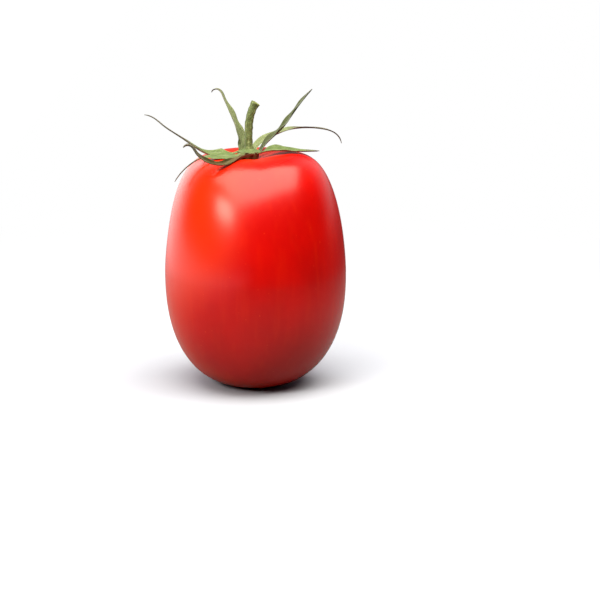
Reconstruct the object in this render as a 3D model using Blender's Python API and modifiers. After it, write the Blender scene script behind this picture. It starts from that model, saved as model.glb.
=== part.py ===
"""A plum tomato standing on its blossom end: the fruit, its calyx base, its stem and seven sepals.

Metres, +Z up. The origin is the centre of the flat spot that the fruit stands on.
Run with: blender --background --python part.py
"""

import math
from typing import NamedTuple

import bmesh
import bpy
import numpy as np

# The fruit. The belly is its widest ring. A section above or below it is a superellipse,
# radius_share ** first_power + height_share ** second_power = 1. The shoulder's first power falls
# towards the front (-Y), where the shoulder is rounder.
FRUIT_RADIUS = 0.029
FRUIT_HEIGHT = 0.075
BELLY_HEIGHT = 0.037
SHOULDER_POWERS = (5.4, 1.55)
FRONT_SHOULDER_POWER = 3.3
FRONT_NARROWNESS = 4
BLOSSOM_POWERS = (2.5, 2.5)
PRESSED_FLAT = 0.0007
BODY_LOBES = 3
BODY_LOBE_DEPTH = 0.0003
BODY_LOBE_TURN = math.radians(20)

# The hollow that the calyx sits in, a little off the fruit's axis, and the ribs that run out of it.
CALYX_X = -0.0018
HOLLOW_DEPTH = 0.0028
HOLLOW_RADIUS = 0.007
RIBS = 5
RIB_DEPTH = 0.0003
RIB_RADIUS = 0.011
RIB_SPREAD = 0.0055
RIB_TURN = math.radians(-68)

# The calyx base, a short cup that flares from a narrow foot to the rim that carries the sepals.
CLEARANCE = 0.0003
CUP_HEIGHT = 0.0032
CUP_RIM_RADIUS = 0.0034
CUP_FOOT_RADIUS = 0.0022
CUP_RIM_THICKNESS = 0.0009
CUP_CROWN = 0.0003

# The stem, from the cup's top to the knuckle where it broke.
STEM_LENGTH = 0.0154
STEM_FOOT_RADIUS = 0.0017
STEM_RADIUS = 0.00125
STEM_KNUCKLE_RADIUS = 0.00145
STEM_FOOT_SHARE = 0.16
STEM_KNUCKLE_SHARE = 0.12
STEM_PITCHES = (92, 91, 88, 82, 71, 58)

# The sepals: blade thickness, how wide a blade is where it leaves the rim, and at its tip.
SEPAL_COUNT = 7
SEPAL_THICKNESS = 0.0005
SEPAL_ROOT_SHARE = 0.75
SEPAL_TIP_WIDTH = 0.0006
SEPAL_WIDEST_AT = 0.22
SEPAL_ROOT_BLEND = 0.16
SEPAL_KEEL = 0.18
FIRST_AZIMUTH = math.radians(-24)
SOFT_CONTACT = 0.0004

# How finely each shape is divided.
FRUIT_MERIDIANS = 40
FRUIT_RINGS = 36
CUP_STEPS = 28
STEM_STATIONS = 14
SEPAL_STATIONS = 22
SEPAL_STRIPS = 4


class Sepal(NamedTuple):
    """One sepal. Angles are in degrees and spread evenly from the root to the tip.

    headings turn the midrib in plan from +X towards +Y, pitches lift it above the horizontal, and rolls
    turn the blade about the midrib, left edge up. taper is the power that the width falls off with.
    """

    name: str
    length: float
    width: float
    taper: float
    headings: tuple
    pitches: tuple
    rolls: tuple


# In the order of their roots round the rim.
SEPALS = (
    Sepal("sepal_right", 0.0196, 0.0046, 1.3, (-4, 19, 16, 15), (34, -8, -5, -2), (14, 10, 6, 0)),
    Sepal(
        "sepal_right_rising",
        0.0260,
        0.0038,
        0.9,
        (23, 18, 20, 16, 16),
        (56, 38, 52, 51, 45),
        (0, 0, 0, 0, 0),
    ),
    Sepal(
        "sepal_right_arching",
        0.0353,
        0.0044,
        2.2,
        (58, 36, 25, 16, 12, 8, 12),
        (30, 22, 18, 5, -5, -21, -80),
        (0, 10, 12, 0, 0, 0, 0),
    ),
    Sepal(
        "sepal_left_rising",
        0.0238,
        0.0042,
        1.0,
        (92, 122, 157, 160, 163, 168, 166),
        (79, 84, 66, 61, 58, 55, -72),
        (-5, -14, -22, -20, -10, 0, 0),
    ),
    Sepal(
        "sepal_left_long",
        0.0340,
        0.0048,
        2.2,
        (190, 184, 184, 181, 180, 179, 174, 178),
        (4, 2, 18, 31, 30, 30, 38, 6),
        (-6, -8, -4, 0, 0, 0, 0, 0),
    ),
    Sepal(
        "sepal_left_drooping",
        0.0258,
        0.0034,
        1.8,
        (221, 205, 192, 181, 180, 180),
        (-19, -1, 7, -28, -44, -61),
        (0, 0, 0, 0, 0, 0),
    ),
    Sepal(
        "sepal_front_curled",
        0.0293,
        0.0042,
        1.3,
        (250, 226, 228, 222, 209, 196, 186, 181, 180),
        (-4, -7, -5, -5, 2, 21, 38, 55, -54),
        (22, 10, -6, -24, -40, -40, -30, -20, 0),
    ),
)


def smooth_step(low, high, value):
    """0 below low, 1 above high, and a smooth rise between."""
    share = np.clip((value - low) / (high - low), 0.0, 1.0)
    return share * share * (3.0 - 2.0 * share)


def smooth_through(values, share):
    """A Catmull-Rom curve through values spread evenly over 0 to 1, read at share."""
    values = np.asarray(values, float)
    padded = np.concatenate([[2 * values[0] - values[1]], values, [2 * values[-1] - values[-2]]])
    place = np.clip(share, 0.0, 1.0) * (len(values) - 1)
    first = np.minimum(place.astype(int), len(values) - 2)
    step = place - first
    before, start, end, after = (padded[first + k] for k in range(4))
    return 0.5 * (
        2 * start
        + (end - before) * step
        + (2 * before - 5 * start + 4 * end - after) * step**2
        + (3 * start - before - 3 * end + after) * step**3
    )


def body_radius(azimuth, height_share):
    """The belly radius at an azimuth, gently lobed, with the lobes fading out towards both ends."""
    lobes = np.cos(BODY_LOBES * (azimuth - BODY_LOBE_TURN))
    return FRUIT_RADIUS + BODY_LOBE_DEPTH * lobes * (1.0 - height_share**2)


def shoulder_power(azimuth):
    """The first power of the shoulder's section at an azimuth, lowest at the front."""
    front = (0.5 - 0.5 * np.sin(azimuth)) ** FRONT_NARROWNESS
    return SHOULDER_POWERS[0] + (FRONT_SHOULDER_POWER - SHOULDER_POWERS[0]) * front


def crown_relief(x, y):
    """How far the calyx hollow and its ribs lower or lift the top of the fruit."""
    away = np.hypot(x - CALYX_X, y)
    azimuth = np.arctan2(y, x - CALYX_X)
    hollow = HOLLOW_DEPTH * np.exp(-((away / HOLLOW_RADIUS) ** 2))
    fade = np.exp(-(((away - RIB_RADIUS) / RIB_SPREAD) ** 2))
    ribs = RIB_DEPTH * np.cos(RIBS * (azimuth - RIB_TURN)) * fade
    return -hollow - ribs


def fruit_top(x, y):
    """The height of the fruit's upper surface over a point in plan, or of its belly outside it."""
    share = np.minimum(np.hypot(x, y) / FRUIT_RADIUS, 1.0)
    dome = (1.0 - share ** shoulder_power(np.arctan2(y, x))) ** (1.0 / SHOULDER_POWERS[1])
    relief = crown_relief(x, y) * smooth_step(0.0, 0.5, dome)
    return BELLY_HEIGHT + (FRUIT_HEIGHT - BELLY_HEIGHT) * dome + relief


def cup_floor():
    """The height of the calyx base's foot, clear of the hollow all round its edge."""
    turns = np.linspace(0.0, 2 * math.pi, 60, endpoint=False)
    edge = fruit_top(CALYX_X + CUP_FOOT_RADIUS * np.cos(turns), CUP_FOOT_RADIUS * np.sin(turns))
    return float(edge.max()) + CLEARANCE


def cup_top():
    """The height of the calyx base's top, where the stem stands."""
    return cup_floor() + CUP_HEIGHT


def material(name, colour, roughness):
    """A Principled material with a linear colour."""
    made = bpy.data.materials.new(name)
    made.use_nodes = True
    shader = made.node_tree.nodes["Principled BSDF"]
    shader.inputs["Base Color"].default_value = (*colour, 1.0)
    shader.inputs["Roughness"].default_value = roughness
    shader.inputs["Metallic"].default_value = 0.0
    return made


def add_object(name, data, finish, collection):
    """Links a named object with its material to the tomato's collection."""
    made = bpy.data.objects.new(name, data)
    data.materials.append(finish)
    collection.objects.link(made)
    return made


def direction(heading, pitch):
    """Unit vectors from headings and pitches in radians, as rows."""
    level = np.cos(pitch)
    return np.stack([level * np.cos(heading), level * np.sin(heading), np.sin(pitch)], axis=-1)


def walk(start, headings, pitches, length):
    """Points a step apart from start, each step along its own heading and pitch."""
    steps = direction(headings, pitches)
    middle = 0.5 * (steps[1:] + steps[:-1]) * length / (len(steps) - 1)
    return np.concatenate([[start], start + np.cumsum(middle, axis=0)])


def make_fruit(finish, collection):
    """The fruit: a UV sphere whose rings are carried onto the fruit's profile.

    Above the belly the section is a superellipse with the calyx hollow sunk into it. Below, a rounder
    one is pressed flat where it meets the table.
    """
    shape = bmesh.new()
    bmesh.ops.create_uvsphere(shape, u_segments=FRUIT_MERIDIANS, v_segments=FRUIT_RINGS, radius=1.0)
    for vertex in shape.verts:
        azimuth = math.atan2(vertex.co.y, vertex.co.x)
        upper = vertex.co.z >= 0.0
        radius_power = shoulder_power(azimuth) if upper else BLOSSOM_POWERS[0]
        height_power = SHOULDER_POWERS[1] if upper else BLOSSOM_POWERS[1]
        radius_share = min(1.0, math.hypot(vertex.co.x, vertex.co.y))
        height_share = (1.0 - radius_share**radius_power) ** (1.0 / height_power)
        radius = radius_share * body_radius(azimuth, height_share)
        x, y = radius * math.cos(azimuth), radius * math.sin(azimuth)
        if upper:
            relief = crown_relief(x, y) * smooth_step(0.0, 0.5, height_share)
            z = BELLY_HEIGHT + (FRUIT_HEIGHT - BELLY_HEIGHT) * height_share + relief
        else:
            z = max(0.0, BELLY_HEIGHT - (BELLY_HEIGHT + PRESSED_FLAT) * height_share)
        vertex.co = (x, y, z)
    mesh = bpy.data.meshes.new("fruit")
    shape.to_mesh(mesh)
    shape.free()
    mesh.shade_smooth()
    return add_object("fruit", mesh, finish, collection)


def make_calyx_base(finish, collection):
    """The calyx base: a turned cup, crowned on top, with a rounded rim over a hollowed flank."""
    half_rim = 0.5 * CUP_RIM_THICKNESS
    rim_height = CUP_HEIGHT - CUP_CROWN - half_rim
    profile = [(0.0, CUP_HEIGHT), (STEM_FOOT_RADIUS + CLEARANCE, CUP_HEIGHT)]
    for turn in np.linspace(0.5 * math.pi, -0.5 * math.pi, 7):
        centre = CUP_RIM_RADIUS - half_rim
        profile.append((centre + half_rim * math.cos(turn), rim_height + half_rim * math.sin(turn)))
    for share in (0.3, 0.6, 1.0):
        inset = math.sin(0.5 * math.pi * share)
        radius = (CUP_RIM_RADIUS - half_rim) + (CUP_FOOT_RADIUS - CUP_RIM_RADIUS + half_rim) * inset
        profile.append((radius, (rim_height - half_rim) * (1.0 - share)))
    profile.append((0.0, 0.0))
    mesh = bpy.data.meshes.new("calyx_base")
    edges = [(k, k + 1) for k in range(len(profile) - 1)]
    mesh.from_pydata([(radius, 0.0, height) for radius, height in profile], edges, [])
    made = add_object("calyx_base", mesh, finish, collection)
    made.location = (CALYX_X, 0.0, cup_floor())
    turning = made.modifiers.new("turned", "SCREW")
    turning.steps = CUP_STEPS
    turning.render_steps = CUP_STEPS
    turning.use_merge_vertices = True
    turning.merge_threshold = 0.00001
    turning.use_smooth_shade = True
    return made


def make_stem(finish, collection):
    """The stem: a curve that flares at its foot, bends near the top and swells at the knuckle."""
    share = np.linspace(0.0, 1.0, STEM_STATIONS)
    pitches = np.radians(smooth_through(STEM_PITCHES, share))
    start = np.array([CALYX_X, 0.0, cup_top() + CLEARANCE])
    points = walk(start, np.zeros_like(share), pitches, STEM_LENGTH)
    foot = (STEM_FOOT_RADIUS - STEM_RADIUS) * (1.0 - smooth_step(0.0, STEM_FOOT_SHARE, share))
    knuckle = (STEM_KNUCKLE_RADIUS - STEM_RADIUS) * smooth_step(1.0 - STEM_KNUCKLE_SHARE, 1.0, share)
    curve = bpy.data.curves.new("stem", "CURVE")
    curve.dimensions = "3D"
    curve.bevel_depth = 1.0
    curve.bevel_resolution = 4
    curve.use_fill_caps = True
    spline = curve.splines.new("POLY")
    spline.points.add(len(points) - 1)
    for point, place, radius in zip(spline.points, points, STEM_RADIUS + foot + knuckle):
        point.co = (*place, 1.0)
        point.radius = radius
    return add_object("stem", curve, finish, collection)


def blade_points(sepal, root_azimuth, share, across):
    """Points of a sepal's middle surface.

    The midrib is walked along its headings and pitches. Each station carries a shallow keel whose width
    swells from the root and tapers to the tip. The first stretch blends from an arc of the cup's rim,
    and no point comes nearer to the fruit than the clearance and half a blade.
    """
    root_radius = CUP_RIM_RADIUS + CLEARANCE + 0.5 * SEPAL_THICKNESS
    root_width = SEPAL_ROOT_SHARE * 2 * math.pi * root_radius / SEPAL_COUNT
    root_height = cup_top() - CUP_CROWN - 0.5 * CUP_RIM_THICKNESS
    centre = np.array([CALYX_X, 0.0, root_height])
    headings = np.radians(smooth_through(sepal.headings, share))
    pitches = np.radians(smooth_through(sepal.pitches, share))
    rolls = np.radians(smooth_through(sepal.rolls, share))
    start = centre + root_radius * direction(np.array(root_azimuth), np.array(0.0))
    midrib = walk(start, headings, pitches, sepal.length)

    level_side = direction(headings + 0.5 * math.pi, np.zeros_like(headings))
    face = np.cross(direction(headings, pitches), level_side)
    side = level_side * np.cos(rolls)[:, None] + face * np.sin(rolls)[:, None]
    normal = face * np.cos(rolls)[:, None] - level_side * np.sin(rolls)[:, None]

    swell = root_width + (sepal.width - root_width) * smooth_step(0.0, SEPAL_WIDEST_AT, share)
    past_widest = np.clip((share - SEPAL_WIDEST_AT) / (1.0 - SEPAL_WIDEST_AT), 0.0, 1.0)
    width = SEPAL_TIP_WIDTH + (swell - SEPAL_TIP_WIDTH) * (1.0 - past_widest) ** sepal.taper

    offset = 0.5 * across[None, :, None] * width[:, None, None]
    keel = SEPAL_KEEL * across[None, :, None] ** 2 * width[:, None, None]
    blade = midrib[:, None, :] + offset * side[:, None, :] + keel * normal[:, None, :]

    turns = root_azimuth + 0.5 * across * root_width / root_radius
    arc = centre + root_radius * direction(turns, np.zeros_like(turns))
    outward = (midrib - midrib[0])[:, None, :]
    blend = smooth_step(0.0, SEPAL_ROOT_BLEND, share)[:, None, None]
    points = blade * blend + (arc[None, :, :] + outward) * (1.0 - blend)

    floor = fruit_top(points[..., 0], points[..., 1]) + CLEARANCE + 0.5 * SEPAL_THICKNESS
    above = points[..., 2] - floor
    points[..., 2] = floor + 0.5 * (above + np.sqrt(above**2 + SOFT_CONTACT**2))
    return points


def make_sepal(sepal, root_azimuth, finish, collection):
    """A sepal: a grid laid over the blade's middle surface and given its thickness."""
    shape = bmesh.new()
    bmesh.ops.create_grid(shape, x_segments=SEPAL_STATIONS, y_segments=SEPAL_STRIPS, size=1.0)
    share = np.linspace(0.0, 1.0, SEPAL_STATIONS + 1)
    across = np.linspace(-1.0, 1.0, SEPAL_STRIPS + 1)
    points = blade_points(sepal, root_azimuth, share, across)
    for vertex in shape.verts:
        station = round((vertex.co.x + 1.0) * 0.5 * SEPAL_STATIONS)
        strip = round((vertex.co.y + 1.0) * 0.5 * SEPAL_STRIPS)
        vertex.co = points[station, strip]
    mesh = bpy.data.meshes.new(sepal.name)
    shape.to_mesh(mesh)
    shape.free()
    mesh.shade_smooth()
    made = add_object(sepal.name, mesh, finish, collection)
    thickness = made.modifiers.new("thickness", "SOLIDIFY")
    thickness.thickness = SEPAL_THICKNESS
    thickness.offset = 0.0
    return made


def main():
    """Clears the scene and builds the tomato."""
    for old in list(bpy.data.objects):
        bpy.data.objects.remove(old)
    tomato = bpy.data.collections.new("plum_tomato")
    bpy.context.scene.collection.children.link(tomato)
    skin = material("ripe_skin", (0.72, 0.02, 0.006), 0.22)
    green = material("calyx_green", (0.13, 0.22, 0.05), 0.6)
    stalk = material("stem_green", (0.15, 0.2, 0.05), 0.65)
    make_fruit(skin, tomato)
    make_calyx_base(green, tomato)
    make_stem(stalk, tomato)
    for place, sepal in enumerate(SEPALS):
        make_sepal(sepal, FIRST_AZIMUTH + place * 2 * math.pi / SEPAL_COUNT, green, tomato)


main()
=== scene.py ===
"""The finished looks of a plum tomato standing on its blossom end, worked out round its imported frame.

Metres, +Z up, with the origin at the centre of the flat spot that the tomato stands on.
"""

import logging
import math
from dataclasses import dataclass, replace
from enum import Enum

import bpy
import numpy as np
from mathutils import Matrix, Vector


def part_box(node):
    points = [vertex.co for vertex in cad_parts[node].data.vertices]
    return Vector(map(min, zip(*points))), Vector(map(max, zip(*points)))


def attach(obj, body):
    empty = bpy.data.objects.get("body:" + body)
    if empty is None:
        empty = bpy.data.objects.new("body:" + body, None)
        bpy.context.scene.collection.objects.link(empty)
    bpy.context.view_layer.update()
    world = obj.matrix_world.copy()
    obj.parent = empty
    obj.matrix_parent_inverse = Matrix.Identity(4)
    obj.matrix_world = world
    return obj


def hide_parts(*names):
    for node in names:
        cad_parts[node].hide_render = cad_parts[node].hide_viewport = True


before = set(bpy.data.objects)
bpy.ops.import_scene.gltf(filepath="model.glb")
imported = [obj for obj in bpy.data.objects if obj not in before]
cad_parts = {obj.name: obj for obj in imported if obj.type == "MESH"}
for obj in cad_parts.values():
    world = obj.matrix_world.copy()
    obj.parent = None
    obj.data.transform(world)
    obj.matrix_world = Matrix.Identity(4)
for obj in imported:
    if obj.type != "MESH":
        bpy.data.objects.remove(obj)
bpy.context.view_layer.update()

Array = np.ndarray
Socket = bpy.types.NodeSocket
Value = Socket | float | tuple[float, ...]
Colour = tuple[float, float, float]
Point = tuple[float, float, float]
WHITE = (1.0, 1.0, 1.0, 1.0)
log = logging.getLogger("plum_tomato")
BODY = "root"
MILLIMETRE = 0.001

# Which set of irregular waves each surface takes. The stem takes the next one too, and the sepals seven.
SKIN_WAVES = 11
PAINTED_LIT_SIDE_WAVES = 17
SCAR_WAVES = 5
SAUCER_WAVES = 21
STEM_WAVES = 31
SEPAL_WAVES = 41


# ---------------------------------------------------------------------------------------------- shapes


def smooth_step(low: float, high: float, value: Array) -> Array:
    """Rises smoothly from 0 at low to 1 at high, as 3 s^2 - 2 s^3 of the share s of the way.

    Args:
        low: where the rise starts.
        high: where it ends.
        value: the numbers to read it at.

    Returns:
        The risen values, each from 0 to 1.
    """
    share = np.clip((value - low) / (high - low), 0.0, 1.0)
    return share * share * (3.0 - 2.0 * share)


def smooth_through(values: tuple[float, ...], share: Array) -> Array:
    """Reads a Catmull-Rom curve, the cubic that passes through evenly spread values.

    Args:
        values: the values that the curve passes through, spread evenly from 0 to 1.
        share: how far along to read it, 0 to 1.

    Returns:
        One value for each share.
    """
    given = np.asarray(values, float)
    padded = np.concatenate([[2 * given[0] - given[1]], given, [2 * given[-1] - given[-2]]])
    place = np.clip(share, 0.0, 1.0) * (len(given) - 1)
    first = np.minimum(place.astype(int), len(given) - 2)
    step = place - first
    before, start, end, after = (padded[first + k] for k in range(4))
    return 0.5 * (
        2 * start
        + (end - before) * step
        + (2 * before - 5 * start + 4 * end - after) * step**2
        + (3 * start - before - 3 * end + after) * step**3
    )


def direction(heading: Array, pitch: Array) -> Array:
    """Unit vectors at headings (from +X towards +Y) and pitches (above level), in radians."""
    level = np.cos(pitch)
    return np.stack([level * np.cos(heading), level * np.sin(heading), np.sin(pitch)], axis=-1)


def walk(start: Array, headings: Array, pitches: Array, length: float) -> Array:
    """Walks a path of equal steps, each along the mean of its two ends' directions.

    Args:
        start: the first point.
        headings: the heading at each point, in radians.
        pitches: the pitch at each point, in radians.
        length: the whole path's length.

    Returns:
        The path's points, one row for each heading.
    """
    steps = direction(headings, pitches)
    middle = 0.5 * (steps[1:] + steps[:-1]) * length / (len(steps) - 1)
    return np.concatenate([[start], start + np.cumsum(middle, axis=0)])


def ripple(points: Array, wavelength: float, seed: int, waves: int = 14) -> Array:
    """Smooth irregular waves in space: plane sine waves in seeded directions, over the root of their number.

    Args:
        points: where to read them, as (..., 3).
        wavelength: the waves' mean length.
        seed: which set of waves.
        waves: how many are summed.

    Returns:
        Values of about -1 to 1, in the shape of points without its last axis.
    """
    draw = np.random.default_rng(seed)
    towards = draw.normal(size=(waves, 3))
    towards /= np.linalg.norm(towards, axis=1, keepdims=True)
    rate = 2 * math.pi / (wavelength * draw.uniform(0.7, 1.5, waves))
    phase = draw.uniform(0.0, 2 * math.pi, waves)
    return np.sin(points @ (towards * rate[:, None]).T + phase).sum(axis=-1) / math.sqrt(waves)


def loft(
    name: str, rings: Array, first_pole: Array, last_pole: Array, marks: dict[str, Array]
) -> bpy.types.Object:
    """Builds a closed surface from rings of points, joined ring to ring and closed by a fan at each pole.

    Seen from outside, the rings run counter-clockwise about the way from the last ring to the first.

    Args:
        name: the new object's name.
        rings: the points, as (ring, place round the ring, 3).
        first_pole: the point that closes the first ring.
        last_pole: the point that closes the last ring.
        marks: values kept on the points by name, as (ring, place round the ring).

    Returns:
        The new object, at the origin, smooth shaded and in the scene.
    """
    count, around = rings.shape[:2]
    points = np.concatenate([rings.reshape(-1, 3), [first_pole], [last_pole]])
    index = np.arange(count * around).reshape(count, around)
    after = np.roll(index, -1, axis=1)
    quads = np.stack([index[:-1], index[1:], after[1:], after[:-1]], axis=-1).reshape(-1, 4)
    top = np.stack([np.full(around, count * around), index[0], after[0]], axis=-1)
    bottom = np.stack([np.full(around, count * around + 1), after[-1], index[-1]], axis=-1)
    fans = np.concatenate([top, bottom])
    corners = np.concatenate([quads.ravel(), fans.ravel()])
    starts = np.concatenate([np.arange(len(quads)) * 4, len(quads) * 4 + np.arange(len(fans)) * 3])

    mesh = bpy.data.meshes.new(name)
    mesh.vertices.add(len(points))
    mesh.vertices.foreach_set("co", points.astype(np.float32).ravel())
    mesh.loops.add(len(corners))
    mesh.loops.foreach_set("vertex_index", corners.astype(np.int32))
    mesh.polygons.add(len(starts))
    mesh.polygons.foreach_set("loop_start", starts.astype(np.int32))
    mesh.update(calc_edges=True)
    for mark, values in marks.items():
        held = mesh.attributes.new(mark, "FLOAT", "POINT")
        ends = [values[0].mean(), values[-1].mean()]
        held.data.foreach_set("value", np.concatenate([values.ravel(), ends]).astype(np.float32))
    mesh.validate()
    mesh.shade_smooth()
    made = bpy.data.objects.new(name, mesh)
    bpy.context.scene.collection.objects.link(made)
    return made


def loft_upwards(name: str, rings: Array, marks: dict[str, Array]) -> bpy.types.Object:
    """Lofts rings that run the other way: counter-clockwise about the way from the first to the last.

    Args:
        name: the new object's name.
        rings: the points, as (ring, place round the ring, 3). Each end closes at its ring's mean.
        marks: values kept on the points by name, as (ring, place round the ring).

    Returns:
        The new object.
    """
    turned = {mark: values[::-1] for mark, values in marks.items()}
    return loft(name, rings[::-1], rings[-1].mean(axis=0), rings[0].mean(axis=0), turned)


class Slot(Enum):
    """The record's material slots."""

    SKIN = "skin"
    LEAF = "leaf"
    STEM = "stem"


def settle(made: bpy.types.Object, finish: bpy.types.Material, slot: Slot, *nodes: str) -> None:
    """Dresses a finished piece, hangs it on the body and lets it stand for its solids.

    Args:
        made: the piece.
        finish: its material.
        slot: the record's slot that the finish comes from; not used.
        *nodes: the solids that it replaces.
    """
    made.data.materials.append(finish)
    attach(made, BODY)
    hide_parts(*nodes)
    log.info("%s: %d points, for %s", made.name, len(made.data.vertices), ", ".join(nodes))


# -------------------------------------------------------------------------------------------- finishes


class Tree:
    """The node tree of a material or the world, with short calls to add its nodes and link them."""

    def __init__(self, owner: bpy.types.Material | bpy.types.World, shader: str, place: str) -> None:
        """Starts a new material's or world's tree.

        Args:
            owner: the material or the world.
            shader: the name of the shader node that it starts with.
            place: the texture coordinate that its patterns are laid out in.
        """
        owner.use_nodes = True
        self.owner = owner
        self.nodes = owner.node_tree.nodes
        self.links = owner.node_tree.links
        self.shader = self.nodes[shader]
        self.place = self.nodes.new("ShaderNodeTexCoord").outputs[place]

    @classmethod
    def material(cls, name: str) -> "Tree":
        """A new material's tree, in the piece's own coordinates."""
        return cls(bpy.data.materials.new(name), "Principled BSDF", "Object")

    @classmethod
    def world(cls, name: str) -> "Tree":
        """A new world's tree, in the direction that is looked in."""
        return cls(bpy.data.worlds.new(name), "Background", "Generated")

    def feed(self, node: bpy.types.Node, given: dict[str | int, Value]) -> None:
        """Links a node's sockets to what they are given, or sets them where that is a plain value.

        Args:
            node: the node.
            given: what goes into its sockets, by their names or numbers.
        """
        for name, value in given.items():
            if isinstance(value, Socket):
                self.links.new(value, node.inputs[name])
            else:
                node.inputs[name].default_value = value

    def add(self, kind: str, given: dict[str | int, Value], **settings: str) -> bpy.types.Node:
        """Adds a node.

        Args:
            kind: the node's type.
            given: what goes into its sockets, by their names or numbers.
            **settings: its other properties.

        Returns:
            The node.
        """
        node = self.nodes.new(kind)
        for name, setting in settings.items():
            setattr(node, name, setting)
        self.feed(node, given)
        return node

    def shade(self, given: dict[str, Value]) -> bpy.types.Material | bpy.types.World:
        """Feeds the shader, and gives back the finished material or world."""
        self.feed(self.shader, given)
        return self.owner

    def mark(self, name: str) -> Socket:
        """Reads a value kept on the piece's points."""
        return self.add("ShaderNodeAttribute", {}, attribute_name=name).outputs["Fac"]

    def axis(self, name: str) -> Socket:
        """One axis, X, Y or Z, of the tree's coordinates."""
        return self.add("ShaderNodeSeparateXYZ", {0: self.place}).outputs[name]

    def seen(self) -> Socket:
        """1 where the surface itself shows, and 0 in reflections and bounces of it."""
        return self.add("ShaderNodeLightPath", {}).outputs["Is Camera Ray"]

    def apply(self, operation: str, *values: Value) -> Socket:
        """Works out one Math operation on up to three values."""
        return self.add("ShaderNodeMath", dict(enumerate(values)), operation=operation).outputs[0]

    def between(
        self, value: Value, low: float, high: float, start: float = 0.0, end: Value = 1.0
    ) -> Socket:
        """Carries low to high smoothly onto start to end, and holds the ends beyond them."""
        given = dict(enumerate((value, low, high, start, end)))
        return self.add("ShaderNodeMapRange", given, interpolation_type="SMOOTHSTEP").outputs[0]

    def stretched(self, scale: Point) -> Socket:
        """The tree's coordinates, stretched axis by axis."""
        return self.add("ShaderNodeMapping", {"Vector": self.place, "Scale": scale}).outputs[0]

    def joined(self, x: Value, y: Value, z: Value) -> Socket:
        """A vector of three values."""
        return self.add("ShaderNodeCombineXYZ", {"X": x, "Y": y, "Z": z}).outputs[0]

    def noise(self, vector: Socket, scale: float, detail: float = 3.0) -> Socket:
        """Smooth noise of about 0 to 1, scale waves to a unit of the vector."""
        given = {"Vector": vector, "Scale": scale, "Detail": detail, "Roughness": 0.5}
        return self.add("ShaderNodeTexNoise", given).outputs["Fac"]

    def specks(self, vector: Socket, scale: float) -> Socket:
        """The distance to the nearest of many scattered points, in shares of their spacing."""
        return self.add("ShaderNodeTexVoronoi", {"Vector": vector, "Scale": scale}).outputs["Distance"]

    def blend(self, share: Value, first: Value, second: Value) -> Socket:
        """Mixes two colours.

        Args:
            share: how much of the second colour there is, 0 to 1.
            first: the first colour.
            second: the second colour.

        Returns:
            The mixed colour.
        """
        colours = ((*value, 1.0) if isinstance(value, tuple) else value for value in (first, second))
        given = dict(zip((0, 6, 7), (share, *colours)))
        return self.add("ShaderNodeMix", given, data_type="RGBA").outputs[2]

    def bump(self, height: Socket, depth: float, under: Socket | None = None) -> Socket:
        """Turns a height of 0 to 1 into a normal.

        Args:
            height: the height.
            depth: how far its highest stands above its lowest, in metres.
            under: the normal that it stands on, where that is another bump's.

        Returns:
            The normal.
        """
        given = {"Strength": 1.0, "Distance": depth, "Height": height}
        if under is not None:
            given["Normal"] = under
        return self.add("ShaderNodeBump", given).outputs[0]


def linear(red: int, green: int, blue: int) -> Colour:
    """Turns a display colour into the linear one that shaders take.

    A part v of 0 to 1 becomes v / 12.92 up to 0.04045, and ((v + 0.055) / 1.055) ^ 2.4 above it.

    Args:
        red: the red part, 0 to 255.
        green: the green part.
        blue: the blue part.

    Returns:
        The linear colour, 0 to 1 in each part.
    """
    shown = np.array([red, green, blue]) / 255.0
    found = np.where(shown <= 0.04045, shown / 12.92, ((shown + 0.055) / 1.055) ** 2.4)
    return tuple(float(part) for part in found)


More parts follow.
